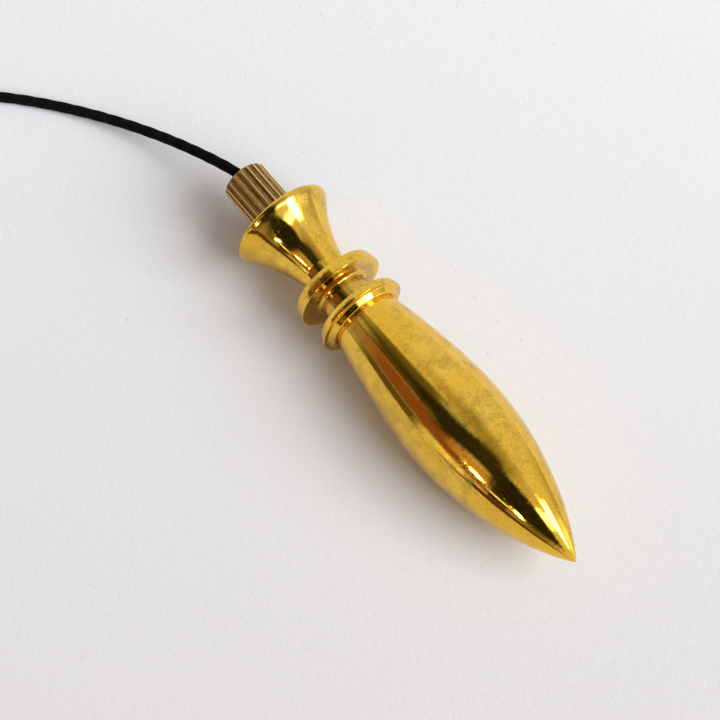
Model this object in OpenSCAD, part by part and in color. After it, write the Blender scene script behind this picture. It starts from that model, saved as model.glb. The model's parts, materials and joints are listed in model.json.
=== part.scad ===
// Plumb bob: a bob turned from one brass bar, a knurled screw cap and a braided cord held by a knot.
// The bob lies on its side. Its point is the origin, its axis is the X axis, and the cord leaves
// towards -X, sinks to the surface that the bob lies on and curves away towards -Y.
// Turned shapes are drawn as [radius, height], with the height counted from the point.

/* [Spindle] */
// Diameter of the belly, and of the collar's rim, so that the bob lies level
belly_d = 19.8; // [18:0.1:21]
// Height of the widest place above the point
belly_height = 33.3; // [30:0.1:37]
// Height of the spindle's shoulder above the point
spindle_len = 58.9; // [55:0.1:63]
// Diameter of the shoulder
shoulder_d = 13.4; // [12.4:0.1:13.8]

/* [Rings] */
// Diameter of the ring next to the spindle
lower_ring_d = 17.5; // [16.8:0.1:17.8]
// Thickness of that ring
lower_ring_h = 1.6; // [1.3:0.1:2.2]
// Height of the conical step below it
step_h = 1.15; // [0.8:0.05:1.4]
// Diameter of the waist between the rings
waist_d = 9.8; // [9:0.1:10.6]
// Length of the waist
waist_len = 4.8; // [3.9:0.1:5.9]
// Diameter of the ring next to the collar
upper_ring_d = 17.5; // [16:0.1:17.8]
// Thickness of that ring
upper_ring_h = 2.4; // [1.8:0.1:3]

/* [Collar] */
// Length of the flared collar, from the upper ring to its flat top
collar_len = 15.7; // [14.6:0.1:17]
// Diameter of the neck
neck_d = 8.95; // [8.4:0.05:9.4]
// Radius of the rim's top edge
lip_r = 0.5; // [0.3:0.1:0.8]

/* [Socket] */
// Diameter of the threaded socket
socket_d = 6; // [5.8:0.05:6.1]
// Depth of the socket below the collar's top
socket_depth = 11.8; // [11.7:0.05:12.2]

/* [Cap] */
// Diameter of the cap over its ribs
cap_d = 8.7; // [8.2:0.1:9.4]
// Height of the cap above the collar
cap_h = 11.6; // [10:0.1:13]
// Number of flutes around the cap
flutes = 18; // [14:1:20]
// Depth of a flute
flute_depth = 0.35; // [0.2:0.05:0.4]
// Length of the threaded stud
stud_len = 6.5; // [5.8:0.1:6.6]

/* [Cord] */
// Diameter of the cord
cord_d = 2; // [1.8:0.05:2.1]
// Length of one cord link, hinge to hinge
link_len = 6; // [5.5:0.1:7]
// Number of links before the tail
links = 10; // [8:1:10]
// Length of the straight tail
tail_len = 10; // [8.5:0.5:14]
// Sideways angle of the first link
first_yaw = 10.5; // [5:0.5:15]
// Sideways turn from each link to the next
yaw_step = 4.1; // [2:0.1:5]
// Number of links in which the cord sinks from the cap to the ground
falling_links = 8; // [7:1:10]

/* [Hidden] */
$fn = 96;
CORD_LINKS = [for (i = [1:links]) str("cord_link_", i)];

belly_r = belly_d / 2;
neck_r = neck_d / 2;
curve_steps = 28;
arc_steps = 8;
// Width and depth of the groove between the spindle's shoulder and the step
groove = 0.35;
// How far a ring's radius falls from its crisp lower edge to its upper edge
ring_fall = 0.4;
// Width of the flat face between the lower ring's edge and the step
ring_face = 0.8;
// Slant of the step's side from the axis, and radius of its lower edge
step_angle = 30;
step_edge = 0.3;
// Radius of the coves at the neck and the waist
cove_r = 0.8;
// Gap between the screwed-down cap and the collar, and between the knot and the stud
seat_gap = 0.05;
// Radial clearance of the stud in the socket
thread_gap = 0.05;
// Radial clearance of the cord in the cap
cord_gap = 0.1;
// Clearance in the cup at each cord hinge
cup_gap = 0.05;

// Heights of the turned features above the point
step_start = spindle_len + groove;
lower_ring_start = step_start + step_h;
waist_start = lower_ring_start + lower_ring_h;
upper_ring_start = waist_start + waist_len;
collar_start = upper_ring_start + upper_ring_h;
collar_top = collar_start + collar_len;
cap_base = collar_top + seat_gap;
cap_top = cap_base + cap_h;
stud_end = cap_base - stud_len;

// The cord, from the cap outwards
cord_r = cord_d / 2;
knot_r = 2.5;
knot_height = stud_end - seat_gap - knot_r;
stub_out = 1.5;
cord_drop = belly_r - cord_r;

// Points of a cubic curve from a to d, leaving towards b and arriving from c
function curve(a, b, c, d, steps = curve_steps) = [
    for (i = [0:steps])
        let (t = i / steps, u = 1 - t)
            u * u * u * a + 3 * u * u * t * b + 3 * u * t * t * c + t * t * t * d
];

// Points of a circular arc
function arc(centre, r, from, to) = [
    for (i = [0:arc_steps])
        let (angle = from + (to - from) * i / arc_steps)
            centre + r * [cos(angle), sin(angle)]
];

// Points of a ring's band, which curves in from the height low to the height high
function band(r, low, high) =
    let (h = high - low)
    let (round_r = (h * h + ring_fall * ring_fall) / (2 * ring_fall))
    arc([r - round_r, low], round_r, 0, asin(h / round_r));

// Outline of the spindle, from the point up over the belly to the shoulder
function spindle_outline() = concat(
    curve([0, 0], [0.49 * belly_r, 0.192 * belly_height],
          [belly_r, 0.588 * belly_height], [belly_r, belly_height]),
    curve([belly_r, belly_height], [belly_r, belly_height + 10.5],
          [shoulder_d / 2 + 0.5, spindle_len - 3], [shoulder_d / 2, spindle_len - groove]),
    arc([shoulder_d / 2 - groove, spindle_len - groove], groove, 0, 90)
);

// Outline of the step, the two rings and the waist between them
function rings_outline() =
    let (edge_top = step_edge * (1 - sin(step_angle)))
    let (step_in = (step_h - edge_top) * tan(step_angle) + step_edge * cos(step_angle))
    let (step_r = lower_ring_d / 2 - ring_face)
    concat(
        [[shoulder_d / 2 - groove, step_start]],
        arc([step_r - step_in, step_start + step_edge], step_edge, -90, -step_angle),
        [[step_r, lower_ring_start]],
        band(lower_ring_d / 2, lower_ring_start, waist_start),
        arc([waist_d / 2 + cove_r, waist_start + cove_r], cove_r, 270, 180),
        arc([waist_d / 2 + cove_r, upper_ring_start - cove_r], cove_r, 180, 90),
        band(upper_ring_d / 2, upper_ring_start, collar_start)
    );

// Outline of the collar, from the neck out to the rim and in over the flat top
function collar_outline() =
    let (rim = collar_top - lip_r)
    concat(
        arc([neck_r + cove_r, collar_start + cove_r], cove_r, 270, 180),
        curve([neck_r, collar_start + 3], [neck_r + 2.3, rim - 2.8],
              [belly_r, rim - 1.4], [belly_r, rim]),
        arc([belly_r - lip_r, rim], lip_r, 0, 90),
        [[0, collar_top]]
    );

// Lays a shape that stands on the point along -X
module lay() {
    rotate([0, -90, 0]) children();
}

module socket() {
    floor_height = collar_top - socket_depth;
    drill_tip = 1.2;
    translate([0, 0, floor_height]) cylinder(d = socket_d, h = socket_depth + 1);
    translate([0, 0, floor_height - drill_tip]) cylinder(d1 = 0, d2 = socket_d, h = drill_tip);
}

module bob_body() {
    color("goldenrod") lay() difference() {
        rotate_extrude() polygon(concat(spindle_outline(), rings_outline(), collar_outline()));
        socket();
    }
}

// The cap's blank, with a chamfer at each end
module cap_blank() {
    r = cap_d / 2;
    chamfer = 0.4;
    rotate_extrude() polygon([
        [0, cap_base], [r - chamfer, cap_base], [r, cap_base + chamfer],
        [r, cap_top - chamfer], [r - chamfer, cap_top], [0, cap_top]
    ]);
}

// One flute, cut by a round tool from a plain band at the foot up through the top
module flute_cut() {
    flute_r = 0.69;
    foot = 0.9;
    translate([cap_d / 2 - flute_depth + flute_r, 0, cap_base + foot]) cylinder(r = flute_r, h = cap_h);
}

module knurled_cap() {
    mouth = 0.4;
    bore_r = cord_r + cord_gap;
    color("darkgoldenrod") lay() difference() {
        union() {
            difference() {
                cap_blank();
                for (i = [0:flutes - 1]) rotate([0, 0, 360 * i / flutes]) flute_cut();
            }
            translate([0, 0, stud_end]) cylinder(r = socket_d / 2 - thread_gap, h = stud_len + 1);
        }
        translate([0, 0, stud_end - 1]) cylinder(r = bore_r, h = cap_top - stud_end + 2);
        translate([0, 0, cap_top - mouth]) cylinder(r1 = bore_r, r2 = bore_r + mouth, h = mouth);
    }
}

module stopper_knot() {
    color("black") lay() translate([0, 0, knot_height]) sphere(r = knot_r);
}

// The stretch of cord inside the cap, from the knot to the first cord hinge
module cord_stub() {
    color("black") lay() difference() {
        translate([0, 0, knot_height]) cylinder(r = cord_r, h = cap_top + stub_out - knot_height);
        translate([0, 0, knot_height]) sphere(r = knot_r + seat_gap);
        translate([0, 0, cap_top + stub_out]) sphere(r = cord_r + cup_gap);
    }
}

// How far the cord has sunk at hinge i, counted from 0 at the cap
function drop_at(i) = cord_drop * (1 - pow(max(0, 1 - i / falling_links), 2));
function link_yaw(i) = first_yaw + yaw_step * i;
function link_pitch(i) = asin((drop_at(i + 1) - drop_at(i)) / link_len);
function heading(i) = -[
    cos(link_pitch(i)) * cos(link_yaw(i)), cos(link_pitch(i)) * sin(link_yaw(i)), sin(link_pitch(i))
];
function hinge_at(i) = i == 0 ? [-cap_top - stub_out, 0, 0] : hinge_at(i - 1) + link_len * heading(i - 1);

// Places a shape that stands at the origin on hinge i, along the cord
module on_cord(i) {
    translate(hinge_at(i)) rotate([0, 90 + link_pitch(i), 180 + link_yaw(i)]) children();
}

// A cord link has a ball at its own hinge and a cup for the next link's ball
module cord_link(i) {
    color("black") on_cord(i) difference() {
        union() {
            sphere(r = cord_r);
            cylinder(r = cord_r, h = link_len);
        }
        translate([0, 0, link_len]) sphere(r = cord_r + cup_gap);
    }
}

module cord_tail() {
    color("black") on_cord(links) {
        sphere(r = cord_r);
        cylinder(r = cord_r, h = tail_len);
    }
}

bob_body();
knurled_cap();
stopper_knot();
cord_stub();
for (i = [0:links - 1]) cord_link(i);
cord_tail();
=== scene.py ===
"""Looks of the plumb bob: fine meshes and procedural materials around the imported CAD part.

The bob lies on a pale plaster board with its axis along X and its point at the origin. Turned shapes
are worked out as (height above the point, radius), where height is the distance along -X.
"""

import json
import math

import bpy
import numpy as np
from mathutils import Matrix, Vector

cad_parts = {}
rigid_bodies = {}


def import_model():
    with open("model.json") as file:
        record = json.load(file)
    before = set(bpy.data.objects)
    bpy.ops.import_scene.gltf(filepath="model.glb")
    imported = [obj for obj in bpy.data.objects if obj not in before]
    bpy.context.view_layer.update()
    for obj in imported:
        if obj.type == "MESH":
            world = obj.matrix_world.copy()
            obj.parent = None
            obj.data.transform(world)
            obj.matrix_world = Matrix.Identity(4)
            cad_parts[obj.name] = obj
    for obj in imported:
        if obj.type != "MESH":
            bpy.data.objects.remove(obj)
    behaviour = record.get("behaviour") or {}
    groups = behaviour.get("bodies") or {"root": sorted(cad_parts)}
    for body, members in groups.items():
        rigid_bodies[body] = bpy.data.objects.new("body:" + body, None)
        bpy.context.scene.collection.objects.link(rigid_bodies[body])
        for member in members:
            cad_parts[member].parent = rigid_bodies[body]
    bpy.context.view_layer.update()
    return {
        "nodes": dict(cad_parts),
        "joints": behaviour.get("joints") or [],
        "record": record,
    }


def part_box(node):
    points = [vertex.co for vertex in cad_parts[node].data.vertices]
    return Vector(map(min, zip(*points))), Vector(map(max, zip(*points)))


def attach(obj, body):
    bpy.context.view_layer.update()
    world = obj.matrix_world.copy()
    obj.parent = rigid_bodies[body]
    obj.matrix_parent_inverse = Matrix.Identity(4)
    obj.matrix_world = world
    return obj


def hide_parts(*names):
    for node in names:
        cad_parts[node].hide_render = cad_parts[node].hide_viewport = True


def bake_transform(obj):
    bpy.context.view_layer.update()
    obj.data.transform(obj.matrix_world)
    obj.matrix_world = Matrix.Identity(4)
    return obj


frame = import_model()

MM = 0.001
TINY = 1e-9  # metres, for values that differ only by rounding
CLOSE = 1e-6  # metres, for vertices on the same line
SEGMENTS = 216


# ---------------------------------------------------------------- meshes

def new_mesh(name, vertices, faces):
    """A smooth-shaded mesh object."""
    mesh = bpy.data.meshes.new(name)
    mesh.from_pydata(np.asarray(vertices).tolist(), [], faces)
    mesh.update()
    mesh.shade_smooth()
    piece = bpy.data.objects.new(name, mesh)
    bpy.context.scene.collection.objects.link(piece)
    return piece


def revolve(name, heights, radii, closed=False):
    """A turned piece. radii has a row for each height and a column for each angle.

    An open outline runs from the axis to the axis, so its first and last rows become single points.
    A closed outline returns to its start, as on a part with a hole through it.
    """
    rows, columns = radii.shape
    angles = np.arange(columns) * 2 * math.pi / columns
    grid = np.stack([
        np.broadcast_to(-heights[:, None], radii.shape),
        radii * np.sin(angles),
        radii * np.cos(angles),
    ], axis=-1)
    following = np.roll(np.arange(columns), -1)
    if closed:
        vertices = grid.reshape(-1, 3)
        pairs = [(i, (i + 1) % rows) for i in range(rows)]
        faces = [
            (a * columns + j, a * columns + following[j], b * columns + following[j], b * columns + j)
            for a, b in pairs for j in range(columns)
        ]
        return new_mesh(name, vertices, faces)
    inner = grid[1:-1].reshape(-1, 3)
    vertices = np.vstack([inner, grid[0, 0], grid[-1, 0]])
    first_pole, last_pole = len(inner), len(inner) + 1
    last_row = (rows - 3) * columns
    faces = [
        (a + j, a + following[j], a + columns + following[j], a + columns + j)
        for a in range(0, last_row, columns) for j in range(columns)
    ]
    faces += [(first_pole, following[j], j) for j in range(columns)]
    faces += [(last_row + j, last_row + following[j], last_pole) for j in range(columns)]
    return new_mesh(name, vertices, faces)


def smoothstep(value, low, high):
    """A smooth change from 0 at low to 1 at high."""
    t = np.clip((value - low) / (high - low), 0, 1)
    return t * t * (3 - 2 * t)


# ---------------------------------------------------------------- outlines

STRAIGHT_TURN = 0.05  # degrees: a smaller turn between two chords is no corner at all
CRISP_TURN = 20  # degrees: a larger turn is a crisp edge
LONG_CHORD = 3  # a chord this many times as long as its neighbour is straight and stays so
OUTLINE_STEP = 0.25 * MM
EDGE = 0.12 * MM  # length that a crisp edge's rounding takes from each side


def node_points(node):
    """Heights and radii of all vertices of a CAD node."""
    points = np.array([v.co for v in frame["nodes"][node].data.vertices], float)
    return -points[:, 0], np.hypot(points[:, 1], points[:, 2])


def seam_outline(node):
    """Outline of a turned CAD node, followed along the edges of its seam from the point on."""
    mesh = frame["nodes"][node].data
    places, order = {}, {}
    for v in mesh.vertices:
        if abs(v.co.y) < CLOSE and v.co.z > -CLOSE:
            key = (round(v.co.x, 6), round(v.co.z, 6))
            places[v.index] = order.setdefault(key, len(order))
    points = np.array([(-x, max(z, 0)) for x, z in order])
    neighbours = {i: set() for i in range(len(points))}
    for edge in mesh.edges:
        a, b = (places.get(i) for i in edge.vertices)
        if a is not None and b is not None and a != b:
            neighbours[a].add(b)
            neighbours[b].add(a)
    path = [int(np.argmin(points.sum(1)))]
    left = set(range(len(points))) - set(path)
    while neighbours[path[-1]] & left:
        path.append(min(neighbours[path[-1]] & left, key=lambda i: math.dist(points[i], points[path[-1]])))
        left.discard(path[-1])
    return points[path]


def turns(points):
    """Angle between the two chords at each inner point, in degrees."""
    chords = np.diff(points, axis=0)
    headings = np.unwrap(np.arctan2(chords[:, 1], chords[:, 0]))
    return np.degrees(np.abs(np.diff(headings)))


def end_tangents(run):
    """Direction of a smooth run at each of its points. A long straight chord keeps its own direction."""
    chords = np.diff(run, axis=0)
    lengths = np.linalg.norm(chords, axis=1)
    unit = chords / lengths[:, None]
    tangents = [unit[0]]
    for i in range(1, len(unit)):
        before, after = lengths[i - 1], lengths[i]
        if after > LONG_CHORD * before:
            tangents.append(unit[i])
        elif before > LONG_CHORD * after:
            tangents.append(unit[i - 1])
        else:
            mean = after * unit[i - 1] + before * unit[i]
            tangents.append(mean / np.linalg.norm(mean))
    tangents.append(unit[-1])
    return np.array(tangents)


def smooth_run(run, step):
    """A run between two crisp edges, redrawn with cubic curves through its points."""
    tangents = end_tangents(run)
    parts = []
    for a, b, leave, arrive in zip(run[:-1], run[1:], tangents[:-1], tangents[1:]):
        length = np.linalg.norm(b - a)
        t = np.arange(math.ceil(length / step))[:, None] / math.ceil(length / step)
        parts.append(
            (2 * t**3 - 3 * t**2 + 1) * a + (3 * t**2 - 2 * t**3) * b
            + (t**3 - 2 * t**2 + t) * length * leave + (t**3 - t**2) * length * arrive
        )
    return np.vstack(parts + [run[-1:]])


def trimmed(run, cut):
    """A run without its first stretch of length cut."""
    along = np.concatenate([[0], np.cumsum(np.linalg.norm(np.diff(run, axis=0), axis=1))])
    first = [np.interp(cut, along, run[:, k]) for k in (0, 1)]
    return np.vstack([first, run[along > cut + TINY]])


def eased(outline, edge=EDGE):
    """A CAD outline made fine: smooth runs become curves, and crisp edges get a small rounding."""
    keep = np.concatenate([[True], turns(outline) > STRAIGHT_TURN, [True]])
    outline = outline[keep]
    crisp = [i + 1 for i, turn in enumerate(turns(outline)) if turn > CRISP_TURN]
    corners = [0] + crisp + [len(outline) - 1]
    runs = [smooth_run(outline[a:b + 1], OUTLINE_STEP) for a, b in zip(corners[:-1], corners[1:])]
    fine = []
    for i, run in enumerate(runs):
        corner = run[0]
        if i > 0:
            run = trimmed(run, edge)
            before = trimmed(runs[i - 1][::-1], edge)[0]
            t = np.linspace(0, 1, 5)[1:-1, None]
            fine.append((1 - t)**2 * before + 2 * t * (1 - t) * corner + t**2 * run[0])
        if i < len(runs) - 1:
            run = trimmed(run[::-1], edge)[::-1]
        fine.append(run)
    return np.vstack(fine)


HOLLOW_SLOPE = 0.5
HOLLOW_DEPTH = 2 * MM


def hollowness(profile):
    """How deep each outline point lies between higher places on both sides: 0 in the open, 1 in a hollow."""
    heights, radii = profile.T
    gap = heights[None] - heights[:, None]
    reach = radii - HOLLOW_SLOPE * np.abs(gap)
    below = np.where(gap <= 0, reach, 0).max(axis=1)
    above = np.where(gap >= 0, reach, 0).max(axis=1)
    return np.clip((np.minimum(below, above) - radii) / HOLLOW_DEPTH, 0, 1)


THREAD_PITCH = 1 * MM
THREAD_FLAT = 0.15  # share of half a pitch that is flat at the root, and again at the crest


def thread_ridge(heights, columns):
    """Height of a right-hand thread's ridge, from 0 at the root to 1 at the crest."""
    angles = np.arange(columns) / columns
    phase = (heights[:, None] / THREAD_PITCH - angles) % 1
    return np.clip((1 - np.abs(2 * phase - 1) - THREAD_FLAT) / (1 - 2 * THREAD_FLAT), 0, 1)


# ---------------------------------------------------------------- turned pieces

SOCKET_MINOR_R = 2.5 * MM
STUD_ROOT_R = 2.4 * MM
THREADED_DEPTH = 7.5 * MM
THREAD_ROWS_PER_MM = 12
COUNTERSINK = 0.4 * MM
SOCKET_LEAD = 0.6 * MM


def make_bob():
    """The bob with its screw-threaded socket, on the CAD node's own outline."""
    outline = seam_outline("bob_body")
    top = outline[:, 0].max()
    mouth = int(np.argmax((outline[:, 0] > top - CLOSE) & (outline[:, 1] < outline[:, 1].max() / 2)))
    socket_r = outline[mouth, 1]
    thread_top, thread_end = top - COUNTERSINK, top - THREADED_DEPTH
    outer = np.vstack([outline[:mouth], [top, socket_r + COUNTERSINK]])
    thread = np.arange(thread_top, thread_end, -MM / THREAD_ROWS_PER_MM)
    inner = np.stack([thread, np.full(len(thread), socket_r)], axis=1)
    rest = smooth_run(np.vstack([[thread_end, socket_r], outline[mouth + 1:]]), MM)
    profile = np.vstack([eased(outer), inner, rest])
    radii = np.repeat(profile[:, 1:2], SEGMENTS, axis=1)
    heights = profile[:, 0]
    inside = (profile[:, 1] < socket_r + TINY) & (heights > thread_end) & (heights < thread_top + TINY)
    fade = smoothstep(heights, thread_end, thread_end + SOCKET_LEAD)
    fade *= 1 - smoothstep(heights, thread_top - SOCKET_LEAD, thread_top)
    depth = (socket_r - SOCKET_MINOR_R) * (1 - thread_ridge(heights, SEGMENTS)) * fade[:, None]
    radii[inside] -= depth[inside]
    bob = revolve("bob", heights, radii)
    hollow = bob.data.attributes.new("hollow", "FLOAT", "POINT")
    ring_hollow = np.repeat(hollowness(profile)[1:-1], SEGMENTS)
    hollow.data.foreach_set("value", np.concatenate([ring_hollow, [0, 0]]))
    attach(bob, "bob")
    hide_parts("bob_body")
    return bob


FLUTES = 18
FLUTE_DEPTH = 0.35 * MM
FLUTE_CUTTER_R = 0.69 * MM
FLUTE_START = 0.9 * MM
FLUTE_RUNOUT = 0.5 * MM
FLUTE_CLEAR = 1.2  # the cutter starts this many flute depths further out
FLUTE_EDGE = 0.02 * MM
CAP_CHAMFER = 0.4 * MM
CAP_EDGE = 0.05 * MM
STUD_LEAD = 0.5 * MM
STUD_RELIEF = 0.8 * MM


def flute_radius(cap_r):
    """Distance of the flutes' surface from the axis at each angle."""
    centre = cap_r - FLUTE_DEPTH + FLUTE_CUTTER_R
    angles = np.arange(SEGMENTS) * 2 * math.pi / SEGMENTS
    pitch = 2 * math.pi / FLUTES
    off = (angles + pitch / 2) % pitch - pitch / 2
    inside = np.maximum(FLUTE_CUTTER_R**2 - (centre * np.sin(off))**2, 0)
    return np.where(inside > 0, centre * np.cos(off) - np.sqrt(inside), centre)


def soft_min(a, b, width):
    """The smaller of a and b, with a small rounding where they cross."""
    return -width * np.log(np.exp(-(a - b) / width) + 1) + b


def make_cap():
    """The knurled cap with its bore, and the threaded stud that screws into the bob."""
    heights, radii = node_points("knurled_cap")
    collar_top = -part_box("bob_body")[0].x
    cap_top, stud_end = heights.max(), heights.min()
    cap_base = heights[heights > collar_top].min()
    cap_r, bore_r = radii.max(), radii.min()
    stud_r = radii[heights < collar_top].max()
    chamfer = CAP_CHAMFER
    wall = eased(np.array([
        [cap_base, STUD_ROOT_R], [cap_base, cap_r - chamfer], [cap_base + chamfer, cap_r],
        [cap_top - chamfer, cap_r], [cap_top, cap_r - chamfer], [cap_top, bore_r + chamfer],
        [cap_top - chamfer, bore_r], [stud_end + chamfer / 2, bore_r], [stud_end, bore_r + chamfer / 2],
        [stud_end, STUD_ROOT_R],
    ]), edge=CAP_EDGE)
    stud = np.arange(stud_end, cap_base, MM / THREAD_ROWS_PER_MM)[1:]
    profile = np.vstack([wall, np.stack([stud, np.full(len(stud), STUD_ROOT_R)], axis=1)])
    heights = profile[:, 0]
    radii = np.repeat(profile[:, 1:2], SEGMENTS, axis=1)

    is_wall = (profile[:, 1] > cap_r - 2 * chamfer) & (heights > cap_base)
    cut_in = smoothstep(heights, cap_base + FLUTE_START, cap_base + FLUTE_START + FLUTE_RUNOUT)
    cutter = flute_radius(cap_r) + (1 - cut_in[:, None]) * FLUTE_DEPTH * FLUTE_CLEAR
    fluted = soft_min(radii, cutter, FLUTE_EDGE)
    radii[is_wall] = fluted[is_wall]

    is_stud = np.arange(len(profile)) >= len(wall)
    fade = smoothstep(heights, stud_end, stud_end + STUD_LEAD)
    fade *= 1 - smoothstep(heights, cap_base - STUD_RELIEF, cap_base - STUD_RELIEF / 2)
    ridge = (stud_r - STUD_ROOT_R) * thread_ridge(heights, SEGMENTS) * fade[:, None]
    radii[is_stud] += ridge[is_stud]
    cap = revolve("cap", heights, radii, closed=True)
    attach(cap, "cap")
    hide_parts("knurled_cap")
    return cap


# ---------------------------------------------------------------- cord

CORD_STEP = 0.15 * MM
STRANDS = 16
BRAID_PITCH = 5 * MM
BRAID_R = 0.81 * MM
BRAID_WAVE = 0.09 * MM
STRAND_HALF_WIDTH = 0.24 * MM
STRAND_HALF_THICKNESS = 0.16 * MM
STRAND_SIDES = 8
CORE_R = 0.68 * MM
CORE_SIDES = 24
INNER_STEPS = 40
HINGE_STEPS = 24


def cord_chain():
    """Bodies along the cord, and the hinge between each body and the next."""
    joints = {j["parent"]: j for j in frame["joints"] if j["name"].startswith("cord_")}
    bodies, hinges = ["cord_anchor"], []
    while bodies[-1] in joints:
        joint = joints[bodies[-1]]
        hinges.append(np.array(joint["pos_m"]))
        bodies.append(joint["child"])
    return bodies, np.array(hinges)


def cord_end(last_hinge):
    """The cord's cut end, which is as far past the middle of the tail as the last hinge is before it."""
    mount = next(m for m in frame["record"]["mounts"] if m["name"] == "cord_end")
    return 2 * np.array(mount["pos_m"]) - last_hinge


def bezier(a, b, c, count):
    """Points of a curve from a towards b and on to c, without c itself."""
    t = np.linspace(0, 1, count, endpoint=False)[:, None]
    return (1 - t)**2 * a + 2 * t * (1 - t) * b + t**2 * c


def even_path(points, step):
    """A polyline redrawn with points at equal distances, and the distance of each old point."""
    along = np.concatenate([[0], np.cumsum(np.linalg.norm(np.diff(points, axis=0), axis=1))])
    count = round(along[-1] / step) + 1
    even = np.linspace(0, along[-1], count)
    return np.stack([np.interp(even, along, points[:, k]) for k in range(3)], axis=1), even, along


def path_frames(path):
    """Two directions across the path, at each of its points, that don't twist along it."""
    tangents = np.gradient(path, axis=0)
    tangents /= np.linalg.norm(tangents, axis=1)[:, None]
    across = [np.array([0.0, 0.0, 1.0])]
    for tangent in tangents:
        side = across[-1] - tangent * (across[-1] @ tangent)
        across.append(side / np.linalg.norm(side))
    across = np.array(across[1:])
    return across, np.cross(tangents, across)


def tube(rings):
    """Vertices and faces of a closed tube through rings of points."""
    count, sides = rings.shape[:2]
    vertices = np.vstack([rings.reshape(-1, 3), rings[0].mean(0), rings[-1].mean(0)])
    start, end, last = count * sides, count * sides + 1, (count - 1) * sides
    faces = []
    for j in range(sides):
        k = (j + 1) % sides
        faces += [(i * sides + j, (i + 1) * sides + j, (i + 1) * sides + k, i * sides + k)
                  for i in range(count - 1)]
        faces.append((start, j, k))
        faces.append((end, last + k, last + j))
    return vertices, faces


def strand_rings(path, distances, frames, strand):
    """Rings of one strand of the braid. Even strands wind one way round and odd strands the other."""
    across, side = frames
    way = 1 if strand % 2 == 0 else -1
    turn = 2 * math.pi * distances / BRAID_PITCH
    angle = way * turn + 2 * math.pi * (strand // 2) / (STRANDS / 2)
    radius = BRAID_R + way * BRAID_WAVE * np.cos(STRANDS * turn)
    outward = across * np.cos(angle)[:, None] + side * np.sin(angle)[:, None]
    centre = path + outward * radius[:, None]
    heading = np.gradient(centre, axis=0)
    heading /= np.linalg.norm(heading, axis=1)[:, None]
    flat = np.cross(heading, outward)
    flat /= np.linalg.norm(flat, axis=1)[:, None]
    thick = np.cross(flat, heading)
    corners = np.arange(STRAND_SIDES) * 2 * math.pi / STRAND_SIDES
    return (
        centre[:, None]
        + STRAND_HALF_WIDTH * np.cos(corners)[:, None] * flat[:, None]
        + STRAND_HALF_THICKNESS * np.sin(corners)[:, None] * thick[:, None]
    )


def core_rings(path, frames, radius):
    """Rings of the plain core that fills the braid."""
    corners = np.arange(CORE_SIDES) * 2 * math.pi / CORE_SIDES
    across, side = frames
    return path[:, None] + radius * (
        np.cos(corners)[:, None] * across[:, None] + np.sin(corners)[:, None] * side[:, None]
    )


def joined(name, tubes):
    """One mesh object from several closed tubes."""
    vertices, faces, offset = [], [], 0
    for part, part_faces in tubes:
        vertices.append(part)
        faces += [tuple(i + offset for i in face) for face in part_faces]
        offset += len(part)
    return new_mesh(name, np.vstack(vertices), faces)


def make_cord():
    """The braided cord, in pieces that each run across one hinge and meet in the middle of a link."""
    bodies, hinges = cord_chain()
    tail = cord_end(hinges[-1])
    cap_top = -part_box("knurled_cap")[0].x
    knot_low, knot_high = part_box("stopper_knot")
    start = np.array([(knot_low.x + knot_high.x) / 2, 0, 0])
    mouth = np.array([-cap_top, 0, 0])
    middles = [mouth] + list((hinges[:-1] + hinges[1:]) / 2) + [(hinges[-1] + tail) / 2]
    stretches = [bezier(start, (start + mouth) / 2, mouth, INNER_STEPS)]
    stretches += [
        bezier(a, hinge, b, HINGE_STEPS) for a, hinge, b in zip(middles[:-1], hinges, middles[1:])
    ]
    rough = np.vstack(stretches + [middles[-1][None], tail[None]])
    path, distances, along = even_path(rough, CORD_STEP)
    frames = path_frames(path)
    starts = np.cumsum([0] + [len(s) for s in stretches])
    cuts = [0] + [int(np.argmin(np.abs(distances - along[i]))) for i in starts[2:-1]] + [len(path) - 1]
    strands = [strand_rings(path, distances, frames, i) for i in range(STRANDS)]
    core = core_rings(path, frames, CORE_R)
    pieces = []
    for i, (a, b) in enumerate(zip(cuts[:-1], cuts[1:])):
        tubes = [tube(rings[a:b + 1]) for rings in strands + [core]]
        piece = joined(f"cord_{i + 1}", tubes)
        first, second = bodies[i], bodies[i + 1]
        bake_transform(piece)
        nodes = frame["record"]["behaviour"]["bodies"][second]
        if i == 0:
            nodes = ["cord_stub"] + nodes
        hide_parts(*nodes)
        pieces.append(piece)
    return pieces


# The knot's sizes, as shares of its radius
KNOT_CORD_R = 0.33
KNOT_RING_R = 0.42
KNOT_RING_WAVE = 0.2
KNOT_HALF_DEPTH = 0.3
# Steps along the knot, sides across it, and the bumps of its braid
KNOT_STEPS = 240
KNOT_SIDES = 20
KNOT_BUMP = 0.05
BUMPS_ACROSS = 5
BUMPS_ALONG = 24


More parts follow.
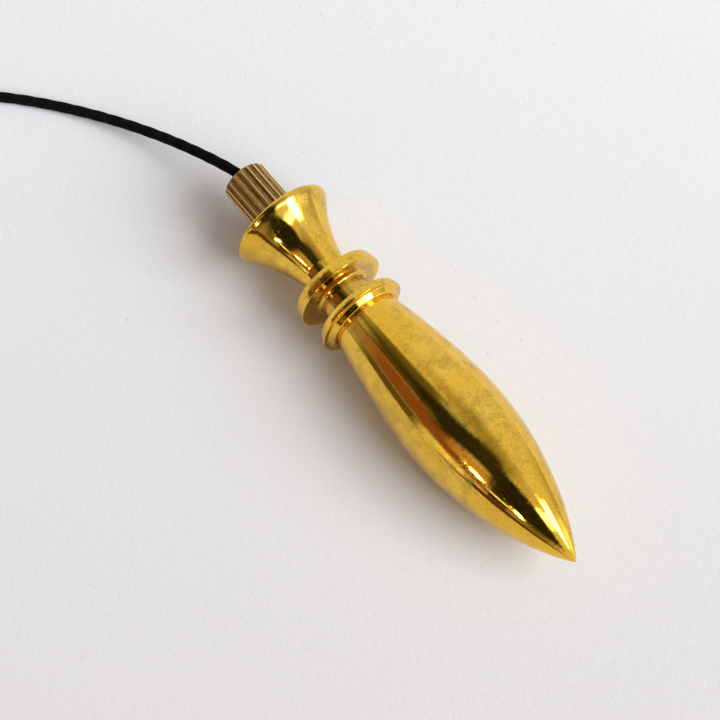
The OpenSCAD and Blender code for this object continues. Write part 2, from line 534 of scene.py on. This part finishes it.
def make_knot():
    """The stopper knot: a trefoil pulled tight, with the cord squeezed inside it."""
    low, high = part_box("stopper_knot")
    centre = np.array((low + high) / 2)
    knot_r = (high.x - low.x) / 2
    t = np.linspace(0, 2 * math.pi, KNOT_STEPS, endpoint=False)
    cord_r = KNOT_CORD_R * knot_r
    ring = KNOT_RING_R * knot_r + KNOT_RING_WAVE * knot_r * np.cos(3 * t)
    depth = KNOT_HALF_DEPTH * knot_r * np.sin(3 * t)
    path = centre + np.stack([depth, ring * np.cos(2 * t), ring * np.sin(2 * t)], axis=1)
    tangents = np.roll(path, -1, axis=0) - np.roll(path, 1, axis=0)
    tangents /= np.linalg.norm(tangents, axis=1)[:, None]
    across = np.cross(tangents, path - centre)
    across /= np.linalg.norm(across, axis=1)[:, None]
    side = np.cross(tangents, across)
    sides = KNOT_SIDES
    corners = np.arange(sides) * 2 * math.pi / sides
    bumps = 1 + KNOT_BUMP * np.cos(BUMPS_ACROSS * corners) * np.cos(BUMPS_ALONG * t)[:, None]
    rings = path[:, None] + cord_r * bumps[..., None] * (
        np.cos(corners)[:, None] * across[:, None] + np.sin(corners)[:, None] * side[:, None]
    )
    count = len(t)
    faces = [
        (i * sides + j, i * sides + (j + 1) % sides,
         (i + 1) % count * sides + (j + 1) % sides, (i + 1) % count * sides + j)
        for i in range(count) for j in range(sides)
    ]
    knot = new_mesh("knot", rings.reshape(-1, 3), faces)
    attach(knot, "cord_anchor")
    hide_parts("stopper_knot")
    return knot


# ---------------------------------------------------------------- node materials

class Shader:
    """Short calls for building a node tree."""

    def __init__(self, tree):
        self.tree = tree
        tree.nodes.clear()

    def node(self, kind, inputs=None, **settings):
        node = self.tree.nodes.new(kind)
        for key, value in settings.items():
            setattr(node, key, value)
        for key, value in (inputs or {}).items():
            self.feed(node.inputs[key], value)
        return node

    def feed(self, socket, value):
        if isinstance(value, bpy.types.NodeSocket):
            self.tree.links.new(value, socket)
        else:
            socket.default_value = value

    def math(self, operation, *values, clamp=False):
        node = self.node("ShaderNodeMath", dict(enumerate(values)), operation=operation, use_clamp=clamp)
        return node.outputs[0]

    def vector(self, operation, *values):
        node = self.node("ShaderNodeVectorMath", dict(enumerate(values)), operation=operation)
        return node.outputs["Value" if operation in ("LENGTH", "DOT_PRODUCT") else "Vector"]

    def split(self, vector):
        return self.node("ShaderNodeSeparateXYZ", {0: vector}).outputs

    def join(self, x=0.0, y=0.0, z=0.0):
        return self.node("ShaderNodeCombineXYZ", {0: x, 1: y, 2: z}).outputs[0]

    def noise(self, vector, scale, detail=3.0, roughness=0.5, output="Fac"):
        inputs = {"Vector": vector, "Scale": scale, "Detail": detail, "Roughness": roughness}
        return self.node("ShaderNodeTexNoise", inputs).outputs[output]

    def step(self, value, low, high, to_low=0.0, to_high=1.0):
        """A smooth change from to_low at low to to_high at high."""
        inputs = {"Value": value, "From Min": low, "From Max": high, "To Min": to_low, "To Max": to_high}
        return self.node("ShaderNodeMapRange", inputs, interpolation_type="SMOOTHSTEP").outputs[0]

    def mix(self, factor, a, b):
        node = self.node("ShaderNodeMix", data_type="RGBA")
        for socket, value in zip((node.inputs[0], node.inputs[6], node.inputs[7]), (factor, a, b)):
            self.feed(socket, value)
        return node.outputs[2]

    def bump(self, height, distance, strength=1.0, normal=None):
        inputs = {"Height": height, "Distance": distance, "Strength": strength}
        if normal is not None:
            inputs["Normal"] = normal
        return self.node("ShaderNodeBump", inputs).outputs[0]


def material(name):
    """An empty material, and the calls that build its nodes."""
    made = bpy.data.materials.new(name)
    made.use_nodes = True
    return made, Shader(made.node_tree)


def finish_material(shader, inputs):
    """Ends a material with a Principled surface that takes these inputs."""
    surface = shader.node("ShaderNodeBsdfPrincipled", inputs)
    output = shader.node("ShaderNodeOutputMaterial")
    shader.tree.links.new(surface.outputs[0], output.inputs[0])


def rgb(red, green, blue):
    """An opaque colour."""
    return (red, green, blue, 1.0)


def polished_brass():
    """Bright turned brass: faint tool rings, olive patina in patches, brown tarnish in the hollows that also
    serves as painted shade there, and painted shade on the side turned down and away from the window.
    """
    made, s = material("polished_brass")
    place = s.node("ShaderNodeTexCoord").outputs["Object"]
    hollow = s.node("ShaderNodeAttribute", attribute_name="hollow").outputs["Fac"]
    height = s.split(place)[0]
    cloud = s.noise(place, 90, 4, 0.6)
    blotch = s.noise(place, 300, 6, 0.7)
    grain = s.noise(place, 2400, 3, 0.6)
    coarse = s.math("ADD", s.math("MULTIPLY", blotch, 0.7), s.math("MULTIPLY", cloud, 0.3))
    patina = s.step(coarse, 0.47, 0.62)
    gold = s.mix(s.step(cloud, 0.35, 0.65), rgb(0.90, 0.525, 0.05), rgb(0.95, 0.595, 0.085))
    gold = s.mix(s.math("MULTIPLY", patina, 0.65), gold, rgb(0.56, 0.36, 0.055))
    gold = s.mix(s.step(grain, 0.42, 0.68, 0, 0.35), gold, rgb(0.62, 0.38, 0.05))
    fine = s.math("ADD", s.math("MULTIPLY", blotch, 0.45), s.math("MULTIPLY", grain, 0.55))
    specks = s.step(fine, 0.54, 0.66)
    gold = s.mix(s.math("MULTIPLY", specks, 0.35), gold, rgb(0.38, 0.23, 0.045))
    # Painted shade: the side turned down and away from the window is darkened to a duller brown, for the
    # shadowed board it mirrors.
    lower_side = s.vector("DOT_PRODUCT", place, (0.0, -0.9, -0.4))
    painted_lower_side_shade = s.step(lower_side, 1 * MM, 8 * MM, 0.0, 0.55)
    painted_lower_side_shade = s.math("MULTIPLY", painted_lower_side_shade, s.step(blotch, 0.35, 0.6, 0.4, 1.0))
    gold = s.mix(painted_lower_side_shade, gold, rgb(0.56, 0.34, 0.045))
    # Brown tarnish in the hollows between the rings, which also serves as painted shade in these recesses.
    tarnish_and_hollow_shade = s.math("MULTIPLY", s.step(hollow, 0.15, 0.8), s.step(blotch, 0.3, 0.55, 0.35, 0.65))
    gold = s.mix(tarnish_and_hollow_shade, gold, rgb(0.50, 0.31, 0.09))
    roughness = s.math("ADD", s.step(patina, 0, 1, 0.06, 0.15), s.math("MULTIPLY", specks, 0.08))
    roughness = s.math("ADD", roughness, s.math("MULTIPLY", tarnish_and_hollow_shade, 0.12))
    rings = s.noise(s.join(height), 9000, 3)
    normal = s.bump(rings, 0.0000006)
    normal = s.bump(s.noise(place, 500, 3), 0.000004, normal=normal)
    normal = s.bump(grain, 0.000003, normal=normal)
    finish_material(s, {
        "Base Color": gold, "Metallic": 1.0, "Roughness": roughness, "Normal": normal,
    })
    return made


def aged_brass():
    """Brown, satin brass, dark in the flutes and worn bright on their crests."""
    made, s = material("aged_brass")
    cap_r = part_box("knurled_cap")[1].y
    place = s.node("ShaderNodeTexCoord").outputs["Object"]
    x, y, z = s.split(place)
    radius = s.math("SQRT", s.math("ADD", s.math("MULTIPLY", y, y), s.math("MULTIPLY", z, z)))
    crest = s.step(radius, cap_r - 0.12 * MM, cap_r - 0.01 * MM)
    blotch = s.noise(place, 700, 4, 0.6)
    worn = s.math("MULTIPLY", crest, s.step(blotch, 0.3, 0.6, 0.5, 1.0))
    brown = s.mix(s.step(blotch, 0.4, 0.7), rgb(0.34, 0.185, 0.05), rgb(0.20, 0.105, 0.03))
    colour = s.mix(worn, brown, rgb(0.86, 0.60, 0.22))
    streaks = s.noise(s.join(s.math("MULTIPLY", x, 0.15), y, z), 5000, 3)
    finish_material(s, {
        "Base Color": colour, "Metallic": 1.0,
        "Roughness": s.step(worn, 0, 1, 0.36, 0.2),
        "Normal": s.bump(streaks, 0.000004),
    })
    return made


def cord_fibre():
    """Black waxed thread: nearly black and dull, with fine fibres and a little pale dust."""
    made, s = material("cord")
    place = s.node("ShaderNodeTexCoord").outputs["Object"]
    fibre = s.noise(place, 9000, 3, 0.6)
    dust = s.noise(place, 600, 3)
    black = s.mix(fibre, rgb(0.002, 0.002, 0.0025), rgb(0.009, 0.0085, 0.009))
    black = s.mix(s.step(dust, 0.55, 0.75, 0, 0.25), black, rgb(0.025, 0.023, 0.021))
    finish_material(s, {
        "Base Color": black, "Roughness": 0.75, "Specular IOR Level": 0.06,
        "Normal": s.bump(fibre, 0.00003, 0.6),
    })
    return made


def dots(s, place, scale, share, size, strength):
    """Scattered dots: how strongly each place is covered. share is the part of the cells without a dot."""
    cells = s.node("ShaderNodeTexVoronoi", {"Vector": place, "Scale": scale})
    chosen = s.math("GREATER_THAN", s.split(cells.outputs["Color"])[0], share)
    return s.math("MULTIPLY", chosen, s.step(cells.outputs["Distance"], size / 3, size, strength, 0))


def plaster():
    """A pale painted plaster board with faint mottling, pits and dark specks, and painted light that makes
    it paler and cooler away from the camera.
    """
    made, s = material("plaster")
    place = s.node("ShaderNodeTexCoord").outputs["Object"]
    mottle = s.noise(place, 14, 4, 0.6)
    grain = s.noise(place, 900, 4, 0.6)
    patchy = s.noise(place, 25, 2)
    # Painted light: the board is coloured paler and cooler away from the camera, for the way the light falls
    # across it.
    painted_light_falloff = s.step(s.vector("DOT_PRODUCT", place, (-0.8, 0.6, 0.0)), -0.10, 0.20)
    pale = s.mix(mottle, rgb(0.71, 0.69, 0.695), rgb(0.75, 0.735, 0.74))
    pale = s.mix(painted_light_falloff, pale, rgb(0.885, 0.91, 0.95))
    pale = s.mix(s.step(grain, 0.5, 0.75, 0, 0.12), pale, rgb(0.55, 0.54, 0.53))
    pale = s.mix(dots(s, place, 90, 0.72, 0.04, 0.55), pale, rgb(0.30, 0.29, 0.28))
    small = s.math("MULTIPLY", dots(s, place, 750, 0.78, 0.14, 0.7), s.step(patchy, 0.45, 0.6))
    pale = s.mix(small, pale, rgb(0.40, 0.39, 0.38))
    pits = s.step(grain, 0.35, 0.5)
    finish_material(s, {
        "Base Color": pale, "Roughness": 0.75, "Specular IOR Level": 0.25,
        "Normal": s.bump(s.math("ADD", pits, s.noise(place, 250, 3)), 0.00006, 0.3),
    })
    return made


# ---------------------------------------------------------------- studio

def make_floor(floor_material):
    """The board, level with the lowest line of the bob."""
    half = 2.0
    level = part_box("bob_body")[0].z
    corners = [(-half, -half, level), (half, -half, level), (half, half, level), (-half, half, level)]
    board = new_mesh("board", corners, [(0, 1, 2, 3)])
    board.data.materials.append(floor_material)


def patch(s, place, colour, base, centre, half, turn=0.0, soft=0.25, box=False):
    """Lays a soft patch of light or shade over base. place is (share along X, angle round X)."""
    local = s.node("ShaderNodeMapping", {
        "Vector": place,
        "Location": (centre[0], math.radians(centre[1]), 0.0),
        "Rotation": (0.0, 0.0, math.radians(turn)),
        "Scale": (half[0], math.radians(half[1]), 1.0),
    }, vector_type="TEXTURE").outputs[0]
    if box:
        x, y, _ = s.split(local)
        reach = s.math("MAXIMUM", s.math("ABSOLUTE", x), s.math("ABSOLUTE", y))
    else:
        reach = s.vector("LENGTH", local)
    return s.mix(s.step(reach, 1 - soft, 1 + soft, 1.0, 0.0), base, colour)


# What stands around the bob: (colour, (share along X, angle round X), half widths, turn, softness, box)
ROOM_PATCHES = [
    ((0.55, 0.55, 0.50), (0.24, 97), (0.24, 27), 0, 0.6, False),
    ((0.40, 0.36, 0.20), (-0.05, 12), (0.42, 15), 0, 0.7, False),
    ((1.8, 1.8, 1.75), (0.55, 85), (0.13, 28), 0, 0.5, False),
    ((7.0, 7.0, 7.0), (0.57, 14), (0.055, 26), 0, 0.5, True),
    ((18.0, 18.0, 18.0), (0.55, 36), (0.13, 8), 0, 0.3, True),
    ((0.14, 0.13, 0.07), (-0.50, -14), (0.20, 11), 0, 0.5, True),
    ((0.09, 0.075, 0.035), (-0.52, -30), (0.18, 14), 0, 0.4, True),
    ((0.16, 0.12, 0.07), (0.50, -45), (0.22, 38), 0, 0.5, False),
    ((0.25, 0.10, 0.075), (-0.22, -57), (0.50, 15), 0, 0.35, True),
    ((0.62, 0.36, 0.20), (0.08, -49), (0.20, 9), 0, 0.5, True),
    ((0.028, 0.026, 0.018), (-0.12, -24), (0.38, 15), 37, 0.3, True),
    ((0.04, 0.036, 0.024), (0.14, -14), (0.15, 21), 0, 0.5, False),
    ((0.05, 0.04, 0.03), (0.28, -50), (0.06, 34), 0, 0.4, True),
    ((0.10, 0.05, 0.035), (0.28, -82), (0.42, 5), 0, 0.4, True),
    ((0.12, 0.09, 0.05), (-0.50, -80), (0.16, 9), 0, 0.4, True),
    ((1.1, 1.05, 0.85), (-0.07, -78), (0.13, 5), 0, 0.4, True),
    ((22.0, 21.5, 21.0), (0.12, -58), (0.045, 2.5), 0, 0.4, False),
    ((24.0, 23.5, 23.0), (0.41, -60), (0.028, 5), 0, 0.4, False),
    ((1.8, 1.7, 1.4), (0.29, -63), (0.07, 1.4), 0, 0.5, True),
]


def room_light():
    """What the brass mirrors: a bright room with a window past the point, dark shapes and mottled leaves."""
    made, s = material("room_light")
    position = s.node("ShaderNodeNewGeometry").outputs["Position"]
    place = s.vector("SUBTRACT", position, room_centre())
    place = s.vector("NORMALIZE", place)
    x, y, z = s.split(place)
    flat = s.join(x, s.math("ARCTAN2", y, z))
    wobble = s.noise(place, 3.0, 2, output="Color")
    wobble = s.vector("SUBTRACT", wobble, (0.5, 0.5, 0.5))
    flat = s.vector("ADD", flat, s.vector("MULTIPLY", wobble, (0.12, 0.12, 0.0)))
    light = rgb(0.82, 0.82, 0.80)
    for colour, middle, half, turn, soft, box in ROOM_PATCHES:
        light = patch(s, flat, rgb(*colour), light, middle, half, turn, soft, box)
    mottle = s.step(s.noise(place, 34, 4, 0.75), 0.46, 0.66)
    leaves = s.mix(mottle, rgb(0.008, 0.009, 0.006), rgb(0.08, 0.073, 0.033))
    light = patch(s, flat, leaves, light, (0.46, -29), (0.29, 29), soft=0.2)
    glow = s.node("ShaderNodeEmission", {"Color": light, "Strength": 1.0})
    output = s.node("ShaderNodeOutputMaterial")
    s.tree.links.new(glow.outputs[0], output.inputs[0])
    made.cycles.emission_sampling = "NONE"
    return made


def room_centre():
    """The middle of the bob, which the room, the lamp and the camera are placed around."""
    low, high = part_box("bob_body")
    return (low + high) / 2


def make_room():
    """A round room seen only in reflections."""
    rows = 24
    columns = 48
    radius = 0.55
    tilt = np.linspace(0, math.pi, rows)
    room = revolve("room", radius * np.cos(tilt), np.repeat(radius * np.sin(tilt)[:, None], columns, axis=1))
    room.location = room_centre()
    room.data.materials.append(room_light())
    room.visible_camera = False
    room.visible_diffuse = False
    room.visible_transmission = False
    room.visible_volume_scatter = False
    room.visible_shadow = False


KEY_DIRECTION = Vector((0.70, 0.34, 0.63))
KEY_DISTANCE = 2.4


def make_lights():
    """Daylight, whiter towards the window, a grey backdrop for the camera, and the window's light."""
    world = bpy.data.worlds.new("daylight")
    world.use_nodes = True
    s = Shader(world.node_tree)
    direction = s.node("ShaderNodeTexCoord").outputs["Generated"]
    facing = s.vector("DOT_PRODUCT", direction, tuple(KEY_DIRECTION))
    glow = s.mix(s.step(facing, -0.1, 0.95), rgb(0.32, 0.225, 0.13), rgb(0.46, 0.48, 0.51))
    seen = s.node("ShaderNodeLightPath").outputs["Is Camera Ray"]
    glow = s.mix(seen, glow, rgb(0.78, 0.78, 0.79))
    sky = s.node("ShaderNodeBackground", {"Color": glow})
    s.tree.links.new(sky.outputs[0], s.node("ShaderNodeOutputWorld").inputs[0])
    bpy.context.scene.world = world
    lamp = bpy.data.lights.new("window", "AREA")
    lamp.shape = "RECTANGLE"
    lamp.size = 2.1
    lamp.size_y = 1.8
    lamp.energy = 73.0
    lamp.color = (0.955, 0.985, 1.0)
    key = bpy.data.objects.new("window", lamp)
    aim = -KEY_DISTANCE * KEY_DIRECTION
    key.location = room_centre() - aim
    key.rotation_euler = aim.to_track_quat("-Z", "Y").to_euler()
    key.visible_glossy = False
    bpy.context.scene.collection.objects.link(key)


def make_camera():
    """Looks down on the bob from past its point, with the cord leaving at the upper left."""
    azimuth = math.radians(52.2)
    elevation = math.radians(64.3)
    distance = 0.485
    level = math.cos(elevation)
    back = Vector((math.sin(azimuth) * level, -math.cos(azimuth) * level, math.sin(elevation)))
    aim = room_centre() + Vector((-0.01133, -0.00574, 0.0))
    lens = bpy.data.cameras.new("camera")
    lens.lens = 135
    lens.sensor_width = 36
    lens.clip_start = 0.01
    camera = bpy.data.objects.new("camera", lens)
    camera.location = aim + back * distance
    camera.rotation_euler = (-back).to_track_quat("-Z", "Y").to_euler()
    bpy.context.scene.collection.objects.link(camera)
    bpy.context.scene.camera = camera


bob = make_bob()
bob.data.materials.append(polished_brass())
cap = make_cap()
cap.data.materials.append(aged_brass())
fibre = cord_fibre()
for piece in make_cord() + [make_knot()]:
    piece.data.materials.append(fibre)
make_floor(plaster())
make_room()
make_lights()
make_camera()
bpy.context.scene.view_settings.view_transform = "Standard"
